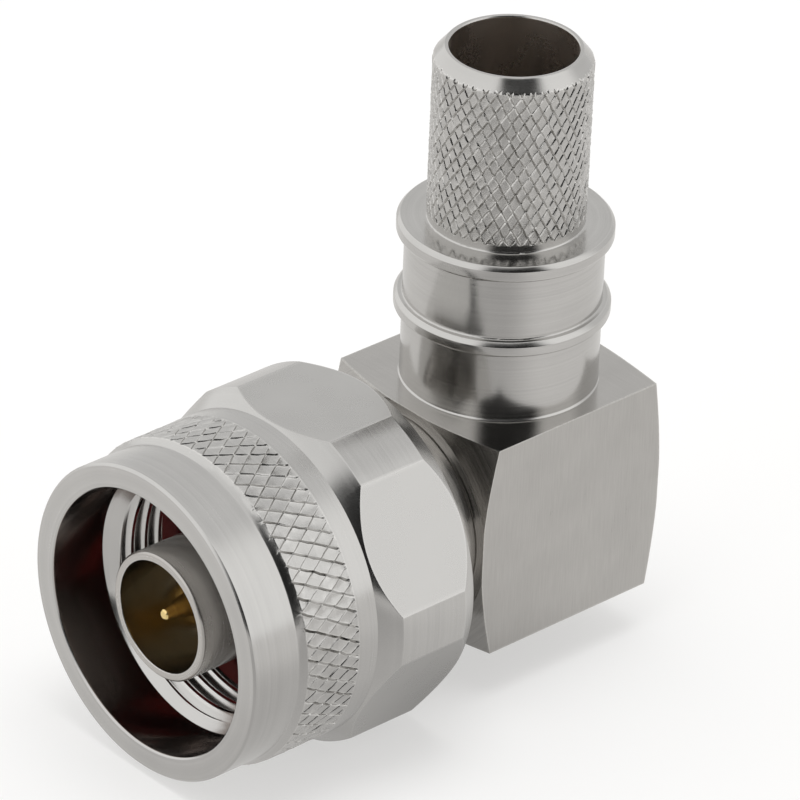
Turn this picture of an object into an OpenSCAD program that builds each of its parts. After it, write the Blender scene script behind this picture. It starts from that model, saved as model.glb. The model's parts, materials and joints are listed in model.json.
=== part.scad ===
// Right-angle type N plug for crimped coaxial cable.
// The mating axis runs along Y and the plug faces -Y. The cable stem stands along +Z.
// The origin is the centre of the outer contact's front rim, the plane the jack bottoms on.

/* [Elbow block] */
// Width and height of the square elbow block
block_w = 14.1; // [13.9:0.1:14.6]
// Distance from the cable axis to the block's front face
block_front = 7.35; // [7.3:0.05:7.6]
// Distance from the cable axis to the block's rear face
block_rear = 7.05; // [7.0:0.05:7.6]
// Distance from the cable axis to the outer contact's front rim
reach = 26.6; // [26.6:0.1:28]

/* [Mating face] */
// Outer radius of the outer contact
contact_r = 4.04; // [4.01:0.01:4.06]
// Inner radius of the outer contact
contact_bore_r = 3.51; // [3.5:0.01:3.55]
// Radius of the centre pin where it mates
pin_r = 0.82; // [0.79:0.01:0.84]
// How far the pin's tip stands behind the outer contact's rim
pin_set_back = 0.35; // [0.3:0.05:1.6]
// Radius of the coupling thread's crests, 5/8-24 UNEF
thread_minor_r = 7.41; // [7.39:0.01:7.45]

/* [Coupling nut] */
// How far the nut stands ahead of the outer contact's rim
nut_lead = 1.15; // [0.8:0.05:1.4]
// Radius of the plain front band
nut_band_r = 9.87; // [9.8:0.01:9.95]
// Radius over the knurl
nut_knurl_r = 10.22; // [10.1:0.01:10.25]
// Width across the hexagon's flats
nut_flats = 20.64; // [20.6:0.01:21]
// Radius of the land that trims the hexagon's corners
nut_corner_r = 11.11; // [10.9:0.01:11.3]
// Radial running clearance between nut and body
nut_running = 0.08; // [0.04:0.01:0.1]

/* [Crimp stem] */
// Radius over the knurled barrel
stem_knurl_r = 4.79; // [4.7:0.01:4.85]
// Bore radius, for the cable's dielectric
stem_bore_r = 3.84; // [3.7:0.01:3.9]
// Radius of the plain root under the flanges
stem_root_r = 6.0; // [5.8:0.05:6.1]
// Radius of the two flanges
flange_r = 6.52; // [6.3:0.01:6.6]
// Height of the stem's mouth above the mating axis
stem_top = 29.03; // [28:0.01:32]

/* [Hidden] */
$fn = 96;

nickel = [0.74, 0.73, 0.71];
half = block_w / 2;
// radius of the body inside the nut's rear bore
collar_r = 7.22;
rear_bore_r = collar_r + nut_running;
// radius of the neck between nut and block
neck_r = 6.45;
// insulator seat, front body's tail and rear port
seat_r = 4.6;
tail_r = 5.6;
port_r = 5.2;
// where the tail ends, clear of the stem's seat
tail_end = 5.4;
// gap left round what is pressed or slipped into a bore
slip = 0.01;

// places a profile of [radius, distance ahead of the cable axis] on the mating axis
module on_mating_axis() {
    translate([0, reach, 0]) rotate([90, 0, 0]) children();
}

// places a profile of [radius, height] on the cable axis
module on_cable_axis() {
    translate([0, reach, 0]) children();
}

// turned coupling nut with its corners trimmed round
module nut_blank() {
    f = reach + nut_lead;
    rotate_extrude() polygon([
        [0, f], [nut_band_r - 0.14, f], [nut_band_r, f - 0.14],
        [nut_band_r, 24.35], [nut_knurl_r, 23.85],
        [nut_knurl_r, 18.55], [nut_corner_r, 17.3],
        [nut_corner_r, 12.45], [10.3, 11.1], [0, 11.1]]);
}

module nut_bore() {
    f = reach + nut_lead;
    rotate_extrude() polygon([
        [0, f + 1], [8.5, f + 1], [8.5, f], [8.33, f - 0.17],
        [8.33, 23.9], [thread_minor_r, 23.1], [thread_minor_r, 19.9],
        [8.1, 19.5], [8.1, 15.6], [rear_bore_r, 15.3],
        [rear_bore_r, 14.45], [7.95, 14.45], [7.95, 13.35], [rear_bore_r, 13.35],
        [rear_bore_r, 11.4], [7.6, 11.1], [7.6, 10], [0, 10]]);
}

module coupling_nut() {
    color(nickel) on_mating_axis() difference() {
        intersection() {
            nut_blank();
            union() {
                // the hexagon has its corners left and right, and a flat on top
                cylinder(h = 18.7, r = nut_flats / 2 / cos(30), $fn = 6);
                translate([0, 0, 18.6]) cylinder(h = 12, r = nut_knurl_r + 0.5);
            }
        }
        nut_bore();
    }
}

// open spring ring that holds the nut on the body
module snap_ring() {
    color([0.72, 0.6, 0.38]) on_mating_axis() difference() {
        rotate_extrude() translate([6.57, 13.45]) square([1.18, 0.9]);
        rotate([0, 0, 250]) translate([0, -1.6, 13]) cube([10, 3.2, 2]);
    }
}

// outer contact, flange, neck and tail, turned in one piece
module front_body() {
    color(nickel) on_mating_axis() rotate_extrude() polygon([
        [contact_bore_r + 0.06, reach], [contact_r - 0.06, reach], [contact_r, reach - 0.06],
        [contact_r, 15.9], [collar_r - 0.12, 15.9], [collar_r, 15.78],
        [collar_r, 14.4], [6.56, 14.4], [6.56, 13.4], [collar_r, 13.4],
        [collar_r, 12.0], [collar_r - 0.1, 11.9], [neck_r, 11.9], [neck_r, block_front],
        [tail_r, block_front], [tail_r, tail_end + 0.2], [tail_r - 0.2, tail_end], [seat_r, tail_end],
        [seat_r, 15.2], [contact_bore_r, 15.2], [contact_bore_r, reach - 0.06]]);
}

// flat ring the jack's barrel presses on
module gasket() {
    color([0.55, 0.07, 0.06]) on_mating_axis() rotate_extrude() polygon([
        [5.3, 15.9], [7.1, 15.9], [7.15, 16.0], [7.15, 17.4], [7.05, 17.5],
        [5.4, 17.5], [5.3, 17.4]]);
}

module front_insulator() {
    color([0.93, 0.92, 0.88]) on_mating_axis() rotate_extrude() polygon([
        [1.51, 18.5], [contact_bore_r - 0.25 - slip, 18.5], [contact_bore_r - slip, 18.25],
        [contact_bore_r - slip, 15.2 - slip], [seat_r - slip, 15.2 - slip], [seat_r - slip, 4.4],
        [1.51, 4.4]]);
}

module centre_pin() {
    tip = reach - pin_set_back;
    color([0.85, 0.68, 0.32]) on_mating_axis() rotate_extrude() polygon([
        [0, tip], [0.24, tip], [0.34, tip - 0.1], [pin_r, tip - 2.3],
        [pin_r, 20.6], [1.4, 20.1], [1.5, 20.0], [1.5, 4.21], [1.0, 4.21], [1.0, 2.1],
        [0.85, 1.95], [0, 1.95]]);
}

// post on the pin's tail that the cable's inner conductor is soldered into
module angle_contact() {
    color([0.85, 0.68, 0.32]) on_mating_axis() difference() {
        rotate_extrude() polygon([
            [0, 4.2], [2.0, 4.2], [2.1, 4.1], [2.1, -2.3], [1.95, -2.45], [0, -2.45]]);
        translate([0, 0, 1.9]) cylinder(h = 3, r = 1.0 + slip);
        // cross hole for the inner conductor, open upwards
        translate([0, -1.0, 0]) rotate([-90, 0, 0]) cylinder(h = 5, r = 1.42);
        // solder slot from the rear
        translate([-0.5, 0, -3]) cube([1, 5, 3]);
    }
}

// sleeve that lines the elbow's chamber, open to the rear port
module rear_insulator() {
    color([0.93, 0.92, 0.88]) on_mating_axis() difference() {
        rotate_extrude() polygon([
            [2.1 + slip, 3.2], [seat_r - 0.02, 3.2], [seat_r - 0.02, -4.85],
            [3.0, -4.85], [3.0, 2.2], [2.1 + slip, 2.2]]);
        translate([0, 2.2, 0]) rotate([-90, 0, 0]) cylinder(h = 4, r = 1.8);
    }
}

// square block, its front and rear faces turned back to the corners
module elbow_body() {
    color(nickel) difference() {
        intersection() {
            translate([-half, reach - block_front, -half]) cube([block_w, block_front + block_rear, block_w]);
            on_mating_axis() rotate_extrude() polygon([
                [0, -block_rear], [7.2, -block_rear], [half * 1.45, -block_rear + 0.7],
                [half * 1.45, block_front - 1.03], [7.25, block_front], [0, block_front]]);
        }
        on_mating_axis() rotate_extrude() polygon([
            [0, block_front + 1], [tail_r + slip, block_front + 1], [tail_r + slip, tail_end - slip],
            [seat_r, tail_end - slip], [seat_r, -4.99], [port_r + slip, -4.99],
            [port_r + slip, -block_rear - 1], [0, -block_rear - 1]]);
        // seat and throat for the stem
        on_cable_axis() {
            translate([0, 0, 4.9]) cylinder(h = half, r = 5.0 + slip);
            cylinder(h = half, r = 3.4);
        }
    }
}

// pressed disc that closes the solder port
module access_cap() {
    color(nickel) on_mating_axis() rotate_extrude() polygon([
        [0, -block_rear + 0.15], [3.6, -block_rear + 0.15], [3.75, -block_rear],
        [port_r - 0.2, -block_rear], [port_r, -block_rear + 0.2], [port_r, -5.0], [0, -5.0]]);
}

// tail, root, two thin flanges and knurled barrel, turned in one piece
module crimp_stem() {
    t = stem_top;
    color(nickel) on_cable_axis() rotate_extrude() polygon([
        [stem_bore_r, 4.91], [4.85, 4.91], [5.0, 5.06], [5.0, half], [stem_root_r, half],
        [stem_root_r, 11.55], [flange_r - 0.15, 11.65], [flange_r, 11.8], [flange_r, 12.35],
        [flange_r - 0.22, 12.6], [stem_root_r, 12.6],
        [stem_root_r, 16.6], [flange_r - 0.15, 16.7], [flange_r, 16.85], [flange_r, 17.45],
        [flange_r - 0.22, 17.7], [stem_knurl_r, 17.7],
        [stem_knurl_r, t - 0.83], [4.1, t], [stem_bore_r + 0.08, t], [stem_bore_r, t - 0.08]]);
}

coupling_nut();
snap_ring();
front_body();
gasket();
front_insulator();
centre_pin();
angle_contact();
rear_insulator();
elbow_body();
access_cap();
crimp_stem();
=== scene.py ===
"""Looks of the right-angle type N plug, in the shared frame, in metres."""

import json  # noqa: E402
import math  # noqa: E402

import bmesh  # noqa: E402
import bpy  # noqa: E402
from mathutils import Matrix, Vector, noise  # noqa: E402
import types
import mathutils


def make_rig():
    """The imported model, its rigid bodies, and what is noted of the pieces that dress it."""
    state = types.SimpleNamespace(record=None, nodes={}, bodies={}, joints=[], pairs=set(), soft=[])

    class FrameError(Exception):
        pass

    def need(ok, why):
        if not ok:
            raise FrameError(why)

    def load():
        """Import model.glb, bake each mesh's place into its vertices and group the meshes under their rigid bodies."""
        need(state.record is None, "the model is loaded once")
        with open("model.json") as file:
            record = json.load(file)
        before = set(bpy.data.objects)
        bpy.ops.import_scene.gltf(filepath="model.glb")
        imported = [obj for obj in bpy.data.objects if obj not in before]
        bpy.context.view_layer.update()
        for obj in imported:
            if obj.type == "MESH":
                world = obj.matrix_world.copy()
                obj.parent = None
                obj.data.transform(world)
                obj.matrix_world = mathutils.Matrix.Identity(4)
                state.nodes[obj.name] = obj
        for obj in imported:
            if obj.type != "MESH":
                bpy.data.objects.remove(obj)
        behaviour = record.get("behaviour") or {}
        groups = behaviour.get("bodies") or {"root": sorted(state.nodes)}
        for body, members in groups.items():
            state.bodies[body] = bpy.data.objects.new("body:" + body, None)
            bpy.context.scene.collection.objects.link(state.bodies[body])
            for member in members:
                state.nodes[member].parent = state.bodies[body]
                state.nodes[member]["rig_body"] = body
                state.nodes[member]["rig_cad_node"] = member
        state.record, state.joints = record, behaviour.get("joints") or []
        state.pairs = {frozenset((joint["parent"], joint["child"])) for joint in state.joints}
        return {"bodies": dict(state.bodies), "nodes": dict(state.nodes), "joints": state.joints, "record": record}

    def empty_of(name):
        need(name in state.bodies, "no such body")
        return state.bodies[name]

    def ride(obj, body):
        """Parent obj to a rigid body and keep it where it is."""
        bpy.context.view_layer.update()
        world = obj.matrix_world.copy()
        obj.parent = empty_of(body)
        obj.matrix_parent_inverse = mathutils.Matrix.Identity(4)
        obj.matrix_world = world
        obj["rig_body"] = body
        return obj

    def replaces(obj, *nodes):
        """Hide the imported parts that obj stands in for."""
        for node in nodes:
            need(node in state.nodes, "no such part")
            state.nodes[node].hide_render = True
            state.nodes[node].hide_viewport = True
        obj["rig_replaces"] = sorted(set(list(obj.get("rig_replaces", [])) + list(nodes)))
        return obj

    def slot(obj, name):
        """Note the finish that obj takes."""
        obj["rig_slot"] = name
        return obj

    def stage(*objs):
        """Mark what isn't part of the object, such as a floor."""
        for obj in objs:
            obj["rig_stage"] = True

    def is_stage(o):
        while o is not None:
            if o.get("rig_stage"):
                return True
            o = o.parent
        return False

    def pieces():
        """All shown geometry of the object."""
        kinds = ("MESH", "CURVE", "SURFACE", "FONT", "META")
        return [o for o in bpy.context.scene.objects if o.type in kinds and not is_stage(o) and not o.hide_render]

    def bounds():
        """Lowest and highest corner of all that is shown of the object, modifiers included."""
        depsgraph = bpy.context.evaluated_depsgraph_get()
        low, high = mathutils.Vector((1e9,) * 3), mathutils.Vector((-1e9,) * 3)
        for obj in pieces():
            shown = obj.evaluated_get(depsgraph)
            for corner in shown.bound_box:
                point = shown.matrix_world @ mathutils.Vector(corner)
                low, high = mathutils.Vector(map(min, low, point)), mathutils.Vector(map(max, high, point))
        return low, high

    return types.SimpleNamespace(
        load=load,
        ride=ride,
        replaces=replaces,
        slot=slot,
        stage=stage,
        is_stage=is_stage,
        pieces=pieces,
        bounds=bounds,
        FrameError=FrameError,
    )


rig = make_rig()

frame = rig.load()
lo_cad, hi_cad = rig.bounds()

MM = 0.001
REACH = 26.6
TAU = 2 * math.pi
RINGS = 256


# ---------------------------------------------------------------- geometry
# Turned parts are worked out in millimetres in the part's own turning frame:
# X and Y across, T along the axis. Mating axis: T runs towards the jack (-Y of
# the row). Cable axis: T runs up (+Z of the row).
def to_mating(p):
    return (p[0] * MM, (REACH - p[2]) * MM, p[1] * MM)


def to_cable(p):
    return (p[0] * MM, (REACH + p[1]) * MM, p[2] * MM)


def to_row(p):
    return (p[0] * MM, p[1] * MM, p[2] * MM)


def rounded(points, closed=False, radius=0.05, steps=3):
    """Profile with its corners rounded. A point is (r, t) or (r, t, radius)."""
    n = len(points)
    out = []
    for i, p in enumerate(points):
        r = p[2] if len(p) > 2 else radius
        if not closed and i in (0, n - 1) or r <= 0 or p[0] < 1e-9:
            out.append((p[0], p[1]))
            continue
        a, b, c = points[i - 1], p, points[(i + 1) % n]
        u = Vector((a[0] - b[0], a[1] - b[1]))
        v = Vector((c[0] - b[0], c[1] - b[1]))
        lu, lv = u.length, v.length
        u.normalize()
        v.normalize()
        turn = math.pi - math.acos(max(-1, min(1, u.dot(v))))
        if turn < math.radians(8):
            out.append((b[0], b[1]))
            continue
        reach = min(r * math.tan(turn / 2), 0.42 * lu, 0.42 * lv)
        real = reach / math.tan(turn / 2)
        start = Vector(b[:2]) + u * reach
        end = Vector(b[:2]) + v * reach
        bis = (u + v).normalized()
        mid = Vector(b[:2]) + bis * math.hypot(reach, real)
        a0 = math.atan2(start.y - mid.y, start.x - mid.x)
        a1 = math.atan2(end.y - mid.y, end.x - mid.x)
        while a1 - a0 > math.pi:
            a1 -= TAU
        while a0 - a1 > math.pi:
            a1 += TAU
        k = max(2, min(steps, int(math.degrees(turn) / 12) + 1))
        for j in range(k + 1):
            w = a0 + (a1 - a0) * j / k
            out.append((mid.x + real * math.cos(w), mid.y + real * math.sin(w)))
    # rings just beside each corner keep its worn edge, with its painted highlight, narrow
    held = []
    for i, a in enumerate(out):
        held.append(a)
        if i + 1 == len(out) and not closed:
            break
        b = out[(i + 1) % len(out)]
        length = math.hypot(b[0] - a[0], b[1] - a[1])
        if length > 0.6:
            for w in (0.1 / length, 1 - 0.1 / length):
                held.append((a[0] + (b[0] - a[0]) * w, a[1] + (b[1] - a[1]) * w))
    return held


class Shell:
    """Vertices and faces, in a turning frame, in millimetres."""

    def __init__(self):
        self.v = []
        self.f = []

    def ring(self, r, t, n=RINGS):
        base = len(self.v)
        if r < 1e-9:
            self.v.append((0.0, 0.0, t))
            return [base]
        for i in range(n):
            a = TAU * i / n
            self.v.append((r * math.cos(a), r * math.sin(a), t))
        return list(range(base, base + n))

    def band(self, a, b):
        """Faces between two rings that have the same count, or where one is a point."""
        if len(a) == 1 and len(b) == 1:
            return
        n = max(len(a), len(b))
        for i in range(n):
            j = (i + 1) % n
            if len(a) == 1:
                self.f.append((a[0], b[j], b[i]))
            elif len(b) == 1:
                self.f.append((a[i], a[j], b[0]))
            else:
                self.f.append((a[i], a[j], b[j], b[i]))

    def turn(self, points, n=RINGS, closed=False, first=None, last=None):
        """Revolves a profile. first and last stand for its end rings when given."""
        rings = [self.ring(p[0], p[1], n) for p in points]
        if first is not None:
            rings.insert(0, first)
        if last is not None:
            rings.append(last)
        for a, b in zip(rings, rings[1:]):
            self.band(a, b)
        if closed:
            self.band(rings[-1], rings[0])
        return rings[0], rings[-1]

    def zip(self, a, b):
        """Triangles between two loops of different counts round the axis."""

        def sort(loop):
            return sorted((math.atan2(self.v[i][1], self.v[i][0]) % TAU, i) for i in loop)

        a, b = sort(a), sort(b)
        k = min(
            range(len(b)),
            key=lambda j: abs((b[j][0] - a[0][0] + math.pi) % TAU - math.pi),
        )
        b = b[k:] + [(w + TAU, i) for w, i in b[:k]]
        if b[0][0] - a[0][0] > math.pi:
            b = [(w - TAU, i) for w, i in b]
        na, nb = len(a), len(b)
        i = j = 0
        while i < na or j < nb:
            an = a[(i + 1) % na][0] + (TAU if i + 1 >= na else 0)
            bn = b[(j + 1) % nb][0] + (TAU if j + 1 >= nb else 0)
            if j >= nb or (i < na and an <= bn):
                self.f.append((a[i % na][1], a[(i + 1) % na][1], b[j % nb][1]))
                i += 1
            else:
                self.f.append((a[i % na][1], b[(j + 1) % nb][1], b[j % nb][1]))
                j += 1

    def take(self, verts, faces):
        base = len(self.v)
        self.v.extend(tuple(p) for p in verts)
        self.f.extend(tuple(base + i for i in f) for f in faces)
        return base

    def bm(self):
        m = bmesh.new()
        vs = [m.verts.new(p) for p in self.v]
        for f in self.f:
            if len(set(f)) > 2:
                try:
                    m.faces.new([vs[i] for i in f])
                except ValueError:
                    pass
        return m


def cut_band(verts, faces, planes, low, high):
    """A tube cut square at low and high, with extra edge rings at planes. Returns vertices and faces."""
    m = bmesh.new()
    vs = [m.verts.new(p) for p in verts]
    for f in faces:
        m.faces.new([vs[i] for i in f])
    for t, outer, inner in [(high, True, False), (low, False, True)] + [
        (p, False, False) for p in planes
    ]:
        bmesh.ops.bisect_plane(
            m,
            geom=m.verts[:] + m.edges[:] + m.faces[:],
            dist=1e-5,
            plane_co=(0, 0, t),
            plane_no=(0, 0, 1),
            clear_outer=outer,
            clear_inner=inner,
        )
    m.verts.index_update()
    v = [tuple(x.co) for x in m.verts]
    f = [tuple(x.index for x in g.verts) for g in m.faces]
    m.free()
    return v, f


def knurl_tube(count, ka, kb, knots_a, knots_b, radius, low, high):
    """Plain tube whose edges follow two families of crossing helical grooves."""
    k = len(knots_a)
    verts, index, faces = [], {}, []

    def vertex(i, j):
        key = (j - i, i % (count * k))
        if key not in index:
            a, b = i // k + knots_a[i % k], j // k + knots_b[j % k]
            s = (a * kb + b * ka) / (ka + kb) / count * TAU
            t = (b - a) / (ka + kb)
            index[key] = len(verts)
            verts.append((radius * math.cos(s), radius * math.sin(s), t))
        return index[key]

    lo = int(math.floor(low * (ka + kb))) - 1
    hi = int(math.ceil(high * (ka + kb))) + 1
    for i in range(count * k):
        for j in range(i + lo * k, i + hi * k):
            faces.append((vertex(i, j), vertex(i + 1, j), vertex(i + 1, j + 1), vertex(i, j + 1)))
    return verts, faces


def groove(x, half, depth, ridge):
    """Depth of a V groove x away from its middle, with a burr thrown up beside it."""
    if x < half:
        return depth * (1 - x / half) - ridge * x / half
    if x < half * 1.8:
        return -ridge * (1 - (x - half) / (half * 0.8))
    return 0.0


def chance(i, seed):
    """A fixed number from 0 to 1 for groove i."""
    return (math.sin(i * 127.1 + seed * 311.7) * 43758.5453) % 1.0


def knurl(count, ka, kb, radius, half_a, half_b, depth_a, depth_b, ridge, low, high, planes, limit, ease, seed, warp, sag, jag, spare):
    """Knurled tube. limit(t) caps the radius, ease(t) fades the grooves at the band's ends."""
    ga = math.hypot(count / TAU / radius, ka)
    gb = math.hypot(count / TAU / radius, kb)

    def knots(half, g):
        u = [half * 0.5 * g, half * g, half * 1.8 * g]
        return [0] + u + [0.5] + [1 - w for w in reversed(u)]

    verts, faces = knurl_tube(count, ka, kb, knots(half_a, ga), knots(half_b, gb), radius, low, high)
    verts, faces = cut_band(verts, faces, planes, low, high)
    out = []
    for p in verts:
        s = math.atan2(p[1], p[0]) % TAU
        t = p[2]
        a = s / TAU * count - ka * t
        b = s / TAU * count + kb * t
        ia, ib = round(a), round(b)
        xa, xb = abs(a - ia) / ga, abs(b - ib) / gb
        q = Vector((math.cos(s) * radius, math.sin(s) * radius, t))
        n1 = noise.noise(q * 1.6 + Vector((seed, 0, 0)))
        n2 = noise.noise(q * 2.9 + Vector((0, seed, 0)))
        n3 = noise.noise(q * 9.0 + Vector((seed, seed, 0)))
        burr = ridge * max(0.0, 0.5 + 1.3 * noise.noise(q * 4.1 + Vector((0, 0, seed))) + 1.2 * noise.noise(q * 11.0))
        cell_a = spare + (1.35 - spare) * chance(ia % count + 13 * (math.floor(b) % count), seed + 7)
        cell_b = spare + (1.35 - spare) * chance(ib % count + 19 * (math.floor(a) % count), seed + 9)
        da = groove(xa, half_a, depth_a * cell_a * (1 + 0.6 * n1 + 0.7 * n3), burr)
        db = groove(xb, half_b, depth_b * cell_b * (1 + 0.6 * n2 + 0.7 * n3), burr)
        if da > 0 or db > 0:
            d = max(da, db) + 0.25 * max(0.0, min(da, db))
        else:
            d = min(da, db)
        # tops sit a little below the full radius, and not all at the same height
        d += jag * (1 + noise.noise(q * 12.7) + 0.6 * noise.noise(q * 5.3))
        d += ridge + 0.004 * (1 + noise.noise(q * 5.3)) + 0.006 * chance(math.floor(a) % count * 3 + math.floor(b) % count, seed)
        e = ease(t)
        r = min(limit(t), radius - d * e)
        m = min(1.0, max(0.0, (t - low) / 0.3)) * min(1.0, max(0.0, (high - t) / 0.3))
        near_b = max(0.0, 1 - abs(b - ib) * 2.6)
        near_a = max(0.0, 1 - abs(a - ia) * 2.6)
        bulge_b = math.sin(math.pi * (a % 1.0)) * (0.4 + 1.2 * chance(math.floor(a) % count + 31 * (ib % count), seed + 2)) * near_b
        bulge_a = math.sin(math.pi * (b % 1.0)) * (0.4 + 1.2 * chance(math.floor(b) % count + 17 * (ia % count), seed + 4)) * near_a
        ds = (noise.noise(q * 1.1 + Vector((0, 7, seed))) * warp + noise.noise(q * 7.0 + Vector((3, 0, seed))) * warp * 0.6) * m
        dt = (noise.noise(q * 1.2 + Vector((9, 0, seed))) * warp + noise.noise(q * 7.5 + Vector((0, 5, seed))) * warp * 0.6) * m
        ds -= (sag[1] * bulge_b + sag[0] * bulge_a) * m
        s += ds / radius
        t2 = t + dt if low + 0.3 < t < high - 0.3 else t
        out.append((r * math.cos(s), r * math.sin(s), t2))
    return out, faces


def edge_loop(shell, base, count, t):
    return [i for i in range(base, base + count) if abs(shell.v[i][2] - t) < 1e-4]


def mesh_from(bm, name, place):
    for v in bm.verts:
        v.co = place(v.co)
    bmesh.ops.remove_doubles(bm, verts=bm.verts[:], dist=2e-7)
    bmesh.ops.dissolve_degenerate(bm, edges=bm.edges[:], dist=1e-8)
    bmesh.ops.recalc_face_normals(bm, faces=bm.faces[:])
    me = bpy.data.meshes.new(name)
    bm.to_mesh(me)
    bm.free()
    return me


def boolean(mesh_a, mesh_b, operation):
    """Exact boolean of two meshes that are in the same units."""
    a = bpy.data.objects.new("tmp_a", mesh_a)
    b = bpy.data.objects.new("tmp_b", mesh_b)
    for o in (a, b):
        bpy.context.scene.collection.objects.link(o)
    mod = a.modifiers.new("cut", "BOOLEAN")
    mod.operation = operation
    mod.solver = "EXACT"
    mod.object = b
    dg = bpy.context.evaluated_depsgraph_get()
    dg.update()
    made = bpy.data.meshes.new_from_object(a.evaluated_get(dg))
    for o in (a, b):
        bpy.data.objects.remove(o)
    return made


def solid(profile, n=RINGS):
    """Closed mesh, in millimetres and in its turning frame, of a profile from the axis to the axis."""
    s = Shell()
    s.turn(profile, n)
    m = s.bm()
    bmesh.ops.remove_doubles(m, verts=m.verts[:], dist=1e-6)
    bmesh.ops.recalc_face_normals(m, faces=m.faces[:])
    me = bpy.data.meshes.new("solid")
    m.to_mesh(me)
    m.free()
    return me


PIECES = {}


def mark_edges(me):
    """Writes how sharp and convex the mesh is at each vertex, for the worn edges and their painted highlight."""
    b = bmesh.new()
    b.from_mesh(me)
    layer = b.verts.layers.float.new("edge_wear_sheen")
    for v in b.verts:
        w = 0.0
        for e in v.link_edges:
            if len(e.link_faces) == 2:
                w = max(w, e.calc_face_angle_signed(0.0))
        v[layer] = min(1.0, max(0.0, (math.degrees(w) - 9) / 16))
    b.to_mesh(me)
    b.free()


def piece(name, me, node, body, slot, material, sharp=32):
    mark_edges(me)
    me.shade_smooth()
    me.set_sharp_from_angle(angle=math.radians(sharp))
    o = bpy.data.objects.new(name, me)
    bpy.context.scene.collection.objects.link(o)
    o.data.materials.clear()
    o.data.materials.append(material)
    w = o.modifiers.new("normals", "WEIGHTED_NORMAL")
    w.keep_sharp = True
    w.weight = 60
    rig.ride(o, body)
    if node:
        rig.replaces(o, node)
    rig.slot(o, slot)
    PIECES[name] = o
    return o


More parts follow.
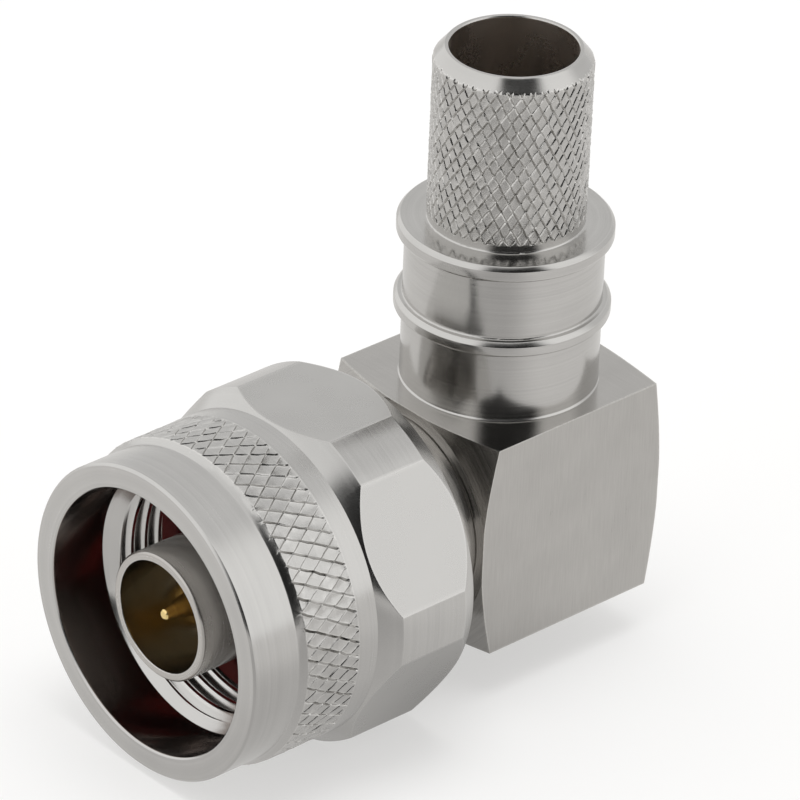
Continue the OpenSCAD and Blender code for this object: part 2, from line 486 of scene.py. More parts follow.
# ---------------------------------------------------------------- materials
class Nodes:
    def __init__(self, name):
        self.m = bpy.data.materials.new(name)
        self.m.use_nodes = True
        self.t = self.m.node_tree
        self.t.nodes.clear()
        self.out = self.t.nodes.new("ShaderNodeOutputMaterial")
        self.b = self.t.nodes.new("ShaderNodeBsdfPrincipled")
        self.t.links.new(self.b.outputs[0], self.out.inputs[0])

    def link(self, a, b):
        self.t.links.new(a, b)

    def put(self, value, socket):
        if isinstance(value, bpy.types.NodeSocket):
            self.link(value, socket)
        else:
            socket.default_value = value

    def math(self, op, a, b=0.0, c=0.0, clamp=False):
        n = self.t.nodes.new("ShaderNodeMath")
        n.operation = op
        n.use_clamp = clamp
        for v, s in zip((a, b, c), n.inputs):
            self.put(v, s)
        return n.outputs[0]

    def vmath(self, op, a, b=(0, 0, 0)):
        n = self.t.nodes.new("ShaderNodeVectorMath")
        n.operation = op
        self.put(a, n.inputs[0])
        if op == "SCALE":
            self.put(b, n.inputs["Scale"])
        else:
            self.put(b, n.inputs[1])
        return n.outputs["Value"] if op in ("LENGTH", "DOT_PRODUCT", "DISTANCE") else n.outputs[0]

    def noise(self, vector, scale, detail=3.0, rough=0.55, dims="3D", w=None):
        n = self.t.nodes.new("ShaderNodeTexNoise")
        n.noise_dimensions = dims
        if dims == "1D":
            self.put(w, n.inputs["W"])
        else:
            self.put(vector, n.inputs["Vector"])
        n.inputs["Scale"].default_value = scale
        n.inputs["Detail"].default_value = detail
        n.inputs["Roughness"].default_value = rough
        return n.outputs["Fac"]

    def ramp(self, fac, stops):
        n = self.t.nodes.new("ShaderNodeValToRGB")
        while len(n.color_ramp.elements) > 1:
            n.color_ramp.elements.remove(n.color_ramp.elements[0])
        for i, (p, c) in enumerate(stops):
            e = n.color_ramp.elements[0] if i == 0 else n.color_ramp.elements.new(p)
            e.position = p
            e.color = (c, c, c, 1) if not isinstance(c, tuple) else (*c, 1)
        self.put(fac, n.inputs[0])
        return n.outputs[0]

    def mix(self, fac, a, b, mode="MIX"):
        n = self.t.nodes.new("ShaderNodeMix")
        n.data_type = "RGBA"
        n.blend_type = mode
        self.put(fac, n.inputs[0])
        self.put((*a, 1) if isinstance(a, tuple) else a, n.inputs[6])
        self.put((*b, 1) if isinstance(b, tuple) else b, n.inputs[7])
        return n.outputs[2]

    def range(self, v, a, b, c, d, clamp=True):
        n = self.t.nodes.new("ShaderNodeMapRange")
        n.clamp = clamp
        self.put(v, n.inputs[0])
        for s, x in zip(list(n.inputs)[1:5], (a, b, c, d)):
            self.put(x, s)
        return n.outputs[0]

    def bump(self, height, strength, distance, normal=None):
        n = self.t.nodes.new("ShaderNodeBump")
        n.inputs["Strength"].default_value = strength
        n.inputs["Distance"].default_value = distance
        self.put(height, n.inputs["Height"])
        if normal is not None:
            self.link(normal, n.inputs["Normal"])
        return n.outputs[0]

    def place(self, axis):
        """Object coordinates as (mm vector, x, y across, t along the axis, radius)."""
        tc = self.t.nodes.new("ShaderNodeTexCoord")
        mm = self.vmath("SCALE", tc.outputs["Object"], 1000.0)
        s = self.t.nodes.new("ShaderNodeSeparateXYZ")
        self.link(mm, s.inputs[0])
        if axis == "cable":
            p = s.outputs[0]
            q = self.math("SUBTRACT", s.outputs[1], REACH)
            t = s.outputs[2]
        else:
            p = s.outputs[0]
            q = s.outputs[2]
            t = self.math("SUBTRACT", REACH, s.outputs[1])
        r = self.math("SQRT", self.math("ADD", self.math("MULTIPLY", p, p), self.math("MULTIPLY", q, q)))
        return mm, p, q, t, r

    def round_tangent(self, p, q, axis):
        """Direction round the axis, in world space."""
        c = self.t.nodes.new("ShaderNodeCombineXYZ")
        self.put(self.math("MULTIPLY", q, -1.0), c.inputs[0])
        self.put(p, c.inputs[1] if axis == "cable" else c.inputs[2])
        v = self.t.nodes.new("ShaderNodeVectorTransform")
        v.vector_type = "VECTOR"
        v.convert_from = "OBJECT"
        v.convert_to = "WORLD"
        self.link(c.outputs[0], v.inputs[0])
        return self.vmath("NORMALIZE", v.outputs[0])

    def normal_parts(self):
        g = self.t.nodes.new("ShaderNodeNewGeometry")
        v = self.t.nodes.new("ShaderNodeVectorTransform")
        v.vector_type = "NORMAL"
        v.convert_from = "WORLD"
        v.convert_to = "OBJECT"
        self.link(g.outputs["True Normal"], v.inputs[0])
        s = self.t.nodes.new("ShaderNodeSeparateXYZ")
        self.link(v.outputs[0], s.inputs[0])
        return [self.math("ABSOLUTE", s.outputs[i]) for i in range(3)]

    def wear_sheen(self, carried=False):
        """Worn edges, also used for a painted edge highlight: marked on the meshes made here, and by pointiness on
        those carried over.
        """
        if carried:
            g = self.t.nodes.new("ShaderNodeNewGeometry")
            return self.range(g.outputs["Pointiness"], 0.52, 0.6, 0.0, 1.0)
        a = self.t.nodes.new("ShaderNodeAttribute")
        a.attribute_name = "edge_wear_sheen"
        return a.outputs["Fac"]


def turned_metal(name, axis, base, rough, aniso=0.4, lines=0.16, line_scale=5.0, edge=(0.8, 0.79, 0.77), spread=0.03, flats=False, contrast=1.0, inner=0.0, inner_rough=0.09, carried=False, knurled=None, painted_bore_shading=None):
    """Turned and plated metal: rings of tool marks round the axis, soft patches, worn edges painted bright as a
    highlight, and painted shade and light in bores when given.
    """
    n = Nodes(name)
    mm, p, q, t, r = n.place(axis)
    soft = n.noise(mm, 0.3, 2.0, 0.45)
    fine = n.noise(mm, 9.0, 3.0, 0.6)
    wander = n.math("MULTIPLY", n.math("SUBTRACT", soft, 0.5), 0.03)
    w = n.math("ADD", n.math("ADD", r, t), wander)
    marks = n.noise(None, line_scale, 6.0, 0.62, "1D", w)
    coarse = n.noise(None, line_scale * 0.22, 3.0, 0.5, "1D", w)
    turned = 1.0
    if flats:
        # the hexagon's flats are milled: even, with a fine stipple in place of rings
        nx, ny, nz = n.normal_parts()
        f = n.math("MULTIPLY", n.math("LESS_THAN", t, 18.4), n.math("LESS_THAN", ny, 0.2))
        f = n.math("MULTIPLY", f, n.math("GREATER_THAN", r, 9.0))
        f = n.math("MULTIPLY", f, n.math("LESS_THAN", r, 11.09))
        turned = n.math("SUBTRACT", 1.0, f)
        marks = n.math("ADD", 0.5, n.math("MULTIPLY", n.math("SUBTRACT", marks, 0.5), turned))
        coarse = n.math("ADD", 0.5, n.math("MULTIPLY", n.math("SUBTRACT", coarse, 0.5), turned))
    if inner:
        # bores are reamed: smoother, with faint marks
        inside = n.math("LESS_THAN", r, inner)
        if flats:
            inside = n.math("MULTIPLY", inside, n.math("LESS_THAN", t, 27.68))
        calm = n.math("SUBTRACT", 1.0, n.math("MULTIPLY", inside, 0.85))
        marks = n.math("ADD", 0.5, n.math("MULTIPLY", n.math("SUBTRACT", marks, 0.5), calm))
        coarse = n.math("ADD", 0.5, n.math("MULTIPLY", n.math("SUBTRACT", coarse, 0.5), calm))
    wear_sheen = n.wear_sheen(carried)
    if flats:
        # the hexagon's edges, from its own shape, for their wear and painted highlight
        cone = n.math("ADD", 10.22, n.math("MULTIPLY", n.math("SUBTRACT", 18.55, t), 0.712))
        rear = n.math("ADD", 10.3, n.math("MULTIPLY", n.math("SUBTRACT", t, 11.1), 0.6))
        on_flat = n.math("MAXIMUM", n.range(r, 11.0, 11.08, 0.0, 1.0), n.range(n.math("SUBTRACT", n.math("MINIMUM", cone, rear), r), 0.03, 0.1, 1.0, 0.0))
        on_land = n.math("MAXIMUM", n.range(n.math("ABSOLUTE", n.math("SUBTRACT", t, 17.3)), 0.02, 0.1, 1.0, 0.0), n.range(n.math("ABSOLUTE", n.math("SUBTRACT", t, 12.45)), 0.02, 0.1, 1.0, 0.0))
        zone = n.math("MULTIPLY", n.math("LESS_THAN", t, 18.45), n.math("GREATER_THAN", r, 10.05))
        edges = n.math("ADD", n.math("MULTIPLY", n.math("MULTIPLY", on_flat, 0.4), f), n.math("MULTIPLY", n.math("MULTIPLY", on_land, 0.3), turned))
        wear_sheen = n.math("ADD", n.math("MULTIPLY", edges, zone), n.math("MULTIPLY", wear_sheen, n.math("SUBTRACT", 1.0, zone)))
    shade = n.math("ADD", n.range(marks, 0.3, 0.7, 1 - 0.05 * contrast, 1 + 0.04 * contrast), n.range(soft, 0.3, 0.7, -0.03, 0.03))
    shade = n.math("ADD", shade, n.range(coarse, 0.3, 0.7, -0.025 * contrast, 0.025 * contrast))
    col = n.mix(1.0, base, shade, "MULTIPLY")
    # edges lightened towards the edge colour: wear, and a painted highlight
    col = n.mix(n.math("MULTIPLY", wear_sheen, n.range(fine, 0.35, 0.65, 0.25, 0.75)), col, edge)
    if knurled:
        # pressed metal: grainy, a little duller on the tops
        t0, t1, r0, depth, top_r, low, high, pale = knurled
        zone_k = n.math("MULTIPLY", n.math("GREATER_THAN", t, t0), n.math("LESS_THAN", t, t1))
        zone_k = n.math("MULTIPLY", zone_k, n.math("GREATER_THAN", r, r0))
        grain = n.noise(mm, 13.0, 3.0, 0.6)
        tops = n.math("MULTIPLY", zone_k, n.range(r, top_r - 0.05, top_r - 0.03, 0.0, 1.0))
        z = n.math("MULTIPLY", zone_k, n.range(r, top_r - 0.05, top_r - 0.03, low, high))
        grit = n.math("ADD", 0.5, n.math("MULTIPLY", n.math("SUBTRACT", grain, 0.5), z))
        col = n.mix(tops, col, n.mix(1.0, col, n.range(grain, 0.35, 0.65, pale, 1.0), "MULTIPLY"))
    if painted_bore_shading:
        # a bore's wall, its colour times a tone as painted shade and light: darker and redder inside the nut's front,
        # darker and warmer inside the front body's contact, lighter in the stem's bore
        t0, t1, r0, tone = painted_bore_shading
        z = n.math("MULTIPLY", n.math("GREATER_THAN", t, t0), n.math("LESS_THAN", t, t1))
        z = n.math("MULTIPLY", z, n.math("LESS_THAN", r, r0))
        col = n.mix(z, col, n.mix(1.0, col, tone, "MULTIPLY"))
    n.link(col, n.b.inputs["Base Color"])
    n.b.inputs["Metallic"].default_value = 1.0
    ro = n.math("ADD", n.range(soft, 0.3, 0.7, rough - spread, rough + spread), n.range(marks, 0.3, 0.7, -0.02, 0.03))
    ro = n.math("ADD", ro, n.range(fine, 0.35, 0.65, -0.01, 0.01))
    if flats:
        ro = n.math("ADD", ro, n.math("MULTIPLY", f, 0.06))
    if knurled:
        ro = n.math("ADD", ro, n.math("MULTIPLY", tops, (1 - pale) * 0.5))
    if inner:
        ro = n.math("ADD", ro, n.math("MULTIPLY", inside, inner_rough - rough))
    n.link(ro, n.b.inputs["Roughness"])
    n.b.inputs["Anisotropic"].default_value = aniso
    n.b.inputs["Anisotropic Rotation"].default_value = 0.25
    n.link(n.round_tangent(p, q, axis), n.b.inputs["Tangent"])
    nor = n.bump(marks, lines, 0.000012)
    nor = n.bump(fine, 0.06, 0.00001, nor)
    if flats:
        st = n.noise(mm, 5.5, 2.0, 0.5)
        st = n.math("ADD", 0.5, n.math("MULTIPLY", n.math("SUBTRACT", st, 0.5), f))
        nor = n.bump(st, 0.15, 0.00002, nor)
    if knurled:
        nor = n.bump(grit, depth, 0.00002, nor)
    n.link(nor, n.b.inputs["Normal"])
    return n


# the last tuple in each of these three lines paints shade and light on a bore's wall
nut_n = turned_metal("nut_nickel", "mate", (0.575, 0.568, 0.555), 0.22, 0.35, 0.1, flats=True, contrast=0.6, inner=8.36, inner_rough=0.15, knurled=(20.02, 23.95, 10.0, 0.9, 10.22, 0.5, 0.4, 0.96), painted_bore_shading=(23.95, 27.66, 8.36, (0.64, 0.56, 0.53)))
body_n = turned_metal("body_nickel", "mate", (0.53, 0.512, 0.488), 0.24, 0.35, 0.1, line_scale=6.0, contrast=0.6, inner=3.56, inner_rough=0.2, painted_bore_shading=(15.0, 26.5, 3.56, (0.92, 0.84, 0.68)))
stem_n = turned_metal("stem_nickel", "cable", (0.57, 0.562, 0.548), 0.18, 0.35, 0.12, line_scale=6.0, contrast=0.7, inner=3.86, inner_rough=0.27, knurled=(18.2, 28.3, 4.5, 1.6, 4.79, 0.2, 1.0, 0.86), painted_bore_shading=(0.0, 28.95, 3.86, (1.35, 1.25, 1.17)))
cap_n = turned_metal("cap_nickel", "mate", (0.56, 0.55, 0.53), 0.25, lines=0.3)
gold_n = turned_metal("gold_plated", "mate", (0.95, 0.73, 0.33), 0.24, 0.3, 0.15, 7.0, (0.92, 0.76, 0.4))
gold_inner_n = turned_metal("gold_plated_post", "mate", (0.78, 0.52, 0.17), 0.2, 0.3, 0.15, 7.0, (0.92, 0.76, 0.4), carried=True)
bronze_n = turned_metal("spring_bronze_wire", "mate", (0.5, 0.34, 0.18), 0.3, 0.3, 0.3, 6.0, (0.7, 0.54, 0.34), carried=True)


def block_metal():
    """Milled block: upright grain on the sides, rings on the turned faces."""
    n = Nodes("block_nickel")
    mm, p, q, t, r = n.place("mate")
    nx, ny, nz = n.normal_parts()
    side = n.range(nx, 0.6, 0.9, 0.0, 1.0)
    top = n.range(nz, 0.6, 0.9, 0.0, 1.0)
    soft = n.noise(mm, 0.3, 3.0, 0.5)
    fine = n.noise(mm, 8.0, 4.0, 0.6)
    upright = n.noise(n.vmath("MULTIPLY", mm, (1.0, 11.0, 0.4)), 1.0, 6.0, 0.65)
    across = n.noise(n.vmath("MULTIPLY", mm, (0.3, 6.0, 1.0)), 1.0, 4.0, 0.5)
    across = n.math("ADD", 0.5, n.math("MULTIPLY", n.math("SUBTRACT", across, 0.5), 0.35))
    rings = n.noise(None, 5.0, 5.0, 0.6, "1D", n.math("ADD", r, n.math("MULTIPLY", soft, 0.2)))
    grain = n.mix(side, n.mix(top, rings, across), upright)
    # worn, with a painted highlight, along its edges: the four long ones, and where the flat sides meet the turned
    # faces
    ax, az = n.math("ABSOLUTE", p), n.math("ABSOLUTE", q)
    corner = n.range(n.math("MINIMUM", ax, az), 6.93, 7.0, 0.0, 1.0)
    front_face = n.math("SUBTRACT", 7.35, n.math("MULTIPLY", n.math("MAXIMUM", n.math("SUBTRACT", r, 7.25), 0.0), 0.346))
    rear_face = n.math("ADD", -7.05, n.math("MULTIPLY", n.math("MAXIMUM", n.math("SUBTRACT", r, 7.2), 0.0), 0.232))
    gap = n.math("MINIMUM", n.math("SUBTRACT", front_face, t), n.math("SUBTRACT", t, rear_face))
    arc = n.math("MULTIPLY", n.range(gap, 0.04, 0.12, 1.0, 0.0), n.range(n.math("MAXIMUM", ax, az), 6.93, 7.0, 0.0, 1.0))
    wear_sheen = n.math("MAXIMUM", corner, arc)
    shade = n.math("ADD", n.range(grain, 0.3, 0.7, 0.93, 1.06), n.range(soft, 0.3, 0.7, -0.04, 0.04))
    col = n.mix(1.0, (0.512, 0.501, 0.484), shade, "MULTIPLY")
    # edges lightened towards a pale colour: wear, and a painted highlight
    col = n.mix(n.math("MULTIPLY", wear_sheen, n.range(fine, 0.35, 0.65, 0.1, 0.5)), col, (0.8, 0.79, 0.76))
    n.link(col, n.b.inputs["Base Color"])
    n.b.inputs["Metallic"].default_value = 1.0
    ro = n.math("ADD", n.range(grain, 0.3, 0.7, 0.13, 0.2), n.math("MULTIPLY", side, 0.16))
    ro = n.math("ADD", ro, n.range(soft, 0.3, 0.7, -0.03, 0.03))
    n.link(ro, n.b.inputs["Roughness"])
    nor = n.bump(grain, 0.22, 0.000014)
    nor = n.bump(fine, 0.12, 0.00001, nor)
    n.link(nor, n.b.inputs["Normal"])
    return n


block_n = block_metal()


def rubber():
    """Silicone rubber."""
    n = Nodes("red_rubber")
    mm, p, q, t, r = n.place("mate")
    soft = n.noise(mm, 0.8, 3.0, 0.5)
    fine = n.noise(mm, 14.0, 4.0, 0.6)
    wear_sheen = n.wear_sheen()
    col = n.mix(n.range(soft, 0.3, 0.7, 0.0, 1.0), (0.2, 0.012, 0.011), (0.29, 0.02, 0.017))
    # edges lightened to a paler red: wear, and a painted highlight
    col = n.mix(n.math("MULTIPLY", wear_sheen, 0.5), col, (0.42, 0.06, 0.05))
    n.link(col, n.b.inputs["Base Color"])
    n.link(n.range(fine, 0.3, 0.7, 0.42, 0.6), n.b.inputs["Roughness"])
    n.link(n.bump(fine, 0.3, 0.00002), n.b.inputs["Normal"])
    return n


def ptfe(name, carried=False):
    n = Nodes(name)
    mm, p, q, t, r = n.place("mate")
    soft = n.noise(mm, 0.6, 3.0, 0.5)
    fine = n.noise(mm, 10.0, 4.0, 0.6)
    marks = n.noise(None, 4.0, 5.0, 0.6, "1D", n.math("ADD", r, t))
    wear_sheen = n.wear_sheen(carried)
    col = n.mix(n.range(soft, 0.3, 0.7, 0.0, 1.0), (0.78, 0.77, 0.73), (0.86, 0.855, 0.83))
    # edges lightened towards near white: wear, and a painted highlight
    col = n.mix(n.math("MULTIPLY", wear_sheen, 0.5), col, (0.93, 0.925, 0.9))
    n.link(col, n.b.inputs["Base Color"])
    n.link(n.range(fine, 0.3, 0.7, 0.35, 0.5), n.b.inputs["Roughness"])
    n.b.inputs["Subsurface Weight"].default_value = 0.15
    n.b.inputs["Subsurface Radius"].default_value = (0.001, 0.001, 0.001)
    n.b.inputs["Subsurface Scale"].default_value = 0.5
    nor = n.bump(marks, 0.25, 0.00002)
    n.link(n.bump(fine, 0.15, 0.00001, nor), n.b.inputs["Normal"])
    return n


rubber_n = rubber()
ptfe_n = ptfe("white_ptfe_turned")
ptfe_inner_n = ptfe("white_ptfe_sleeve", True)


# ---------------------------------------------------------------- coupling nut
LAND = 11.105


def hex_part():
    """Rear part of the nut: turned blank trimmed to a hexagon, open at both ends."""
    blank = solid([(0, 18.55), (10.22, 18.55), (LAND, 17.3), (LAND, 12.45), (10.3, 11.1), (0, 11.1)])
    m = bmesh.new()
    half = 20.64 / 2 / math.cos(math.radians(30))
    rows = []
    for t in (9.0, 20.0):
        rows.append([m.verts.new((half * math.cos(TAU * i / 6), half * math.sin(TAU * i / 6), t)) for i in range(6)])
    for i in range(6):
        j = (i + 1) % 6
        m.faces.new((rows[0][i], rows[0][j], rows[1][j], rows[1][i]))
    m.faces.new(list(reversed(rows[0])))
    m.faces.new(rows[1])
    bmesh.ops.recalc_face_normals(m, faces=m.faces[:])
    prism = bpy.data.meshes.new("prism")
    m.to_mesh(prism)
    m.free()
    me = boolean(blank, prism, "INTERSECT")
    b = bmesh.new()
    b.from_mesh(me)
    b.normal_update()
    caps = [f for f in b.faces if all(abs(v.co.z - 18.55) < 1e-4 for v in f.verts) or all(abs(v.co.z - 11.1) < 1e-4 for v in f.verts)]
    bmesh.ops.delete(b, geom=caps, context="FACES_ONLY")
    bmesh.ops.delete(b, geom=[v for v in b.verts if not v.link_faces], context="VERTS")
    bmesh.ops.delete(b, geom=[e for e in b.edges if not e.link_faces], context="EDGES")
    edges = [
        e
        for e in b.edges
        if len(e.link_faces) == 2 and e.calc_face_angle(0) > math.radians(9)
    ]
    bmesh.ops.bevel(b, geom=edges, offset=0.055, offset_type="OFFSET", segments=2, profile=0.5, affect="EDGES", clamp_overlap=True)
    b.verts.index_update()
    v = [tuple(x.co) for x in b.verts]
    f = [tuple(x.index for x in g.verts) for g in b.faces]
    b.free()
    return v, f


def nut_cone(t):
    """Radius of the lead-in ahead of the thread."""
    return 7.41 + (t - 23.1) * (8.33 - 7.41) / 0.8


THREAD_LOW, THREAD_HIGH = 19.55, 23.6
PITCH = 25.4 / 24
THREAD_AT = 22.35  # a crest's middle at 180 degrees


def thread_radius(s, t):
    """Inside 5/8-24 thread, with its lead-in cone and the chamfer at its relief."""
    u = ((t - THREAD_AT) / PITCH - (s - math.pi) / TAU) % 1.0
    x = abs(u - 1.0) if u > 0.5 else u
    if x < 0.10:
        r = 7.41
    elif x < 0.14:
        r = 7.41 + (x - 0.10) / 0.04 * 0.03
    elif x < 0.42:
        r = 7.44 + (x - 0.14) / 0.28 * 0.47
    elif x < 0.46:
        r = 7.91 + (x - 0.42) / 0.04 * 0.03
    else:
        r = 7.94
    if t > 23.1:
        r = max(r, nut_cone(t))
    if t < 19.9:
        r = max(r, 7.41 + (19.9 - t) * 1.725)
    return r


def thread_tube(n=192):
    knots = [0.0, 0.10, 0.14, 0.235, 0.33, 0.42, 0.46, 0.54, 0.58, 0.67, 0.765, 0.86, 0.90]
    k = len(knots)
    verts, index, faces = [], {}, []

    def vertex(i, j):
        if i == n:
            i, j = 0, j + k
        key = (i, j)
        if key not in index:
            s = TAU * i / n
            t = THREAD_AT + PITCH * (j // k + knots[j % k]) + PITCH * (s - math.pi) / TAU
            index[key] = len(verts)
            verts.append((7.6 * math.cos(s), 7.6 * math.sin(s), t))
        return index[key]

    for i in range(n):
        for j in range(-4 * k, 3 * k):
            faces.append((vertex(i, j), vertex(i + 1, j), vertex(i + 1, j + 1), vertex(i, j + 1)))
    verts, faces = cut_band(verts, faces, [19.65, 19.75, 19.9, 23.1, 23.2, 23.3, 23.4, 23.5], THREAD_LOW, THREAD_HIGH)
    out = []
    for p in verts:
        s = math.atan2(p[1], p[0]) % TAU
        r = thread_radius(s, p[2])
        out.append((r * math.cos(s), r * math.sin(s), p[2]))
    return out, faces


def make_nut():
    sh = Shell()
    # hexagon
    v, f = hex_part()
    sh.take(v, f)
    # plain ring up to the knurl
    _, last = sh.turn([(10.22, 18.55), (10.22, 19.2), (10.22, 19.93)])
    k_low, k_high = 20.0, 24.35

    def limit(t):
        # a cove runs down from the knurl to the plain band
        if t > 23.85:
            u = min(1.0, (t - 23.85) / 0.5)
            return 9.87 + 0.35 * (1 - u) * (1 - 0.35 * u)
        return 10.22

    def ease(t):
        return min(1.0, max(0.0, (t - 20.0) / 0.12)) * min(1.0, max(0.0, (23.95 - t) / 0.08))

    kv, kf = knurl(66, 0.586, 0.625, 10.22, 0.08, 0.05, 0.14, 0.06, 0.026, k_low, k_high, [20.12, 23.85, 23.9, 23.95, 24.03, 24.13, 24.23, 24.3], limit, ease, 1.0, 0.035, (0.06, 0.0), 0.003, 0.35)
    base = sh.take(kv, kf)
    sh.zip(edge_loop(sh, base, len(kv), k_low), last)
    front = rounded(
        [(9.87, 24.4), (9.87, 26.2), (9.87, 27.61, 0.05), (9.73, 27.75, 0.05), (8.44, 27.75, 0.05), (8.33, 27.64, 0.05), (8.33, 23.9, 0.06), (nut_cone(23.62), 23.62)]
    )
    a, b = sh.turn(front)
    sh.zip(edge_loop(sh, base, len(kv), k_high), a)
    tv, tf = thread_tube()
    tb = sh.take(tv, tf)
    sh.zip(edge_loop(sh, tb, len(tv), THREAD_HIGH), b)
    back = rounded(
        [(8.04, 19.53), (8.1, 19.49, 0.0), (8.1, 15.6, 0.04), (7.30, 15.3, 0.03), (7.30, 14.45, 0.02), (7.95, 14.45, 0.03), (7.95, 13.35, 0.03),
         (7.30, 13.35, 0.02), (7.30, 11.4, 0.04), (7.6, 11.1, 0.04), (10.2, 11.1), (10.3, 11.1)]
    )
    c, d = sh.turn(back)
    sh.zip(edge_loop(sh, tb, len(tv), THREAD_LOW), c)
    return mesh_from(sh.bm(), "coupling_nut_looks", to_mating)


piece("coupling_nut_looks", make_nut(), "coupling_nut", "nut", "nut_metal", nut_n.m, 30)


# ---------------------------------------------------------------- other turned pieces
def turned_piece(name, points, place, node, body, slot, material, closed=True, n=RINGS, radius=0.04, sharp=30):
    sh = Shell()
    sh.turn(rounded(points, closed, radius), n, closed)
    return piece(name, mesh_from(sh.bm(), name, place), node, body, slot, material, sharp)


turned_piece(
    "front_body_looks",
    [(3.51, 26.6, 0.06), (3.93, 26.6, 0.03), (4.04, 26.5, 0.05), (4.04, 15.9, 0.06), (7.10, 15.9, 0.03), (7.22, 15.78, 0.03),
     (7.22, 14.4, 0.03), (6.56, 14.4, 0.05), (6.56, 13.4, 0.05), (7.22, 13.4, 0.03), (7.22, 12.0, 0.03), (7.12, 11.9, 0.03),
     (6.45, 11.9, 0.15), (6.45, 7.42, 0.05), (6.38, 7.36, 0.02), (5.6, 7.36, 0.0), (5.6, 5.6), (5.4, 5.4), (4.6, 5.4), (4.6, 15.2), (3.51, 15.2)],
    to_mating, "front_body", "plug_body", "body_metal", body_n.m,
)
turned_piece(
    "gasket_looks",
    [(5.3, 15.92), (7.1, 15.92), (7.15, 16.0), (7.15, 17.38, 0.1), (7.05, 17.49, 0.08), (5.4, 17.49, 0.08), (5.3, 17.38, 0.1)],
    to_mating, "gasket", "plug_body", "gasket_rubber", rubber_n.m, n=160,
)
turned_piece(
    "front_insulator_looks",
    [(1.51, 18.49), (3.25, 18.49, 0.08), (3.5, 18.24, 0.06), (3.5, 15.19), (4.59, 15.19), (4.59, 4.41), (1.51, 4.41)],
    to_mating, "front_insulator", "plug_body", "white_ptfe", ptfe_n.m, n=128,
)
sh = Shell()
sh.turn(
    rounded([(0, 26.25), (0.24, 26.25, 0.06), (0.34, 26.15, 0.05), (0.82, 23.95, 0.5), (0.82, 20.6, 0.1), (1.4, 20.1, 0.08), (1.5, 20.0, 0.06),
             (1.5, 4.22), (1.0, 4.22), (1.0, 2.1), (0.85, 1.96), (0, 1.96)], False, 0.03),
    96,
)
piece("centre_pin_looks", mesh_from(sh.bm(), "centre_pin_looks", to_mating), "centre_pin", "plug_body", "gold_plate", gold_n.m)
sh = Shell()
sh.turn(
    rounded([(0, -6.9), (3.6, -6.9, 0.06), (3.75, -7.05, 0.05), (5.0, -7.05, 0.06), (5.2, -6.85, 0.06), (5.2, -5.0), (0, -5.0)], False, 0.03),
    160,
)
piece("access_cap_looks", mesh_from(sh.bm(), "access_cap_looks", to_mating), "access_cap", "plug_body", "block_metal", cap_n.m)


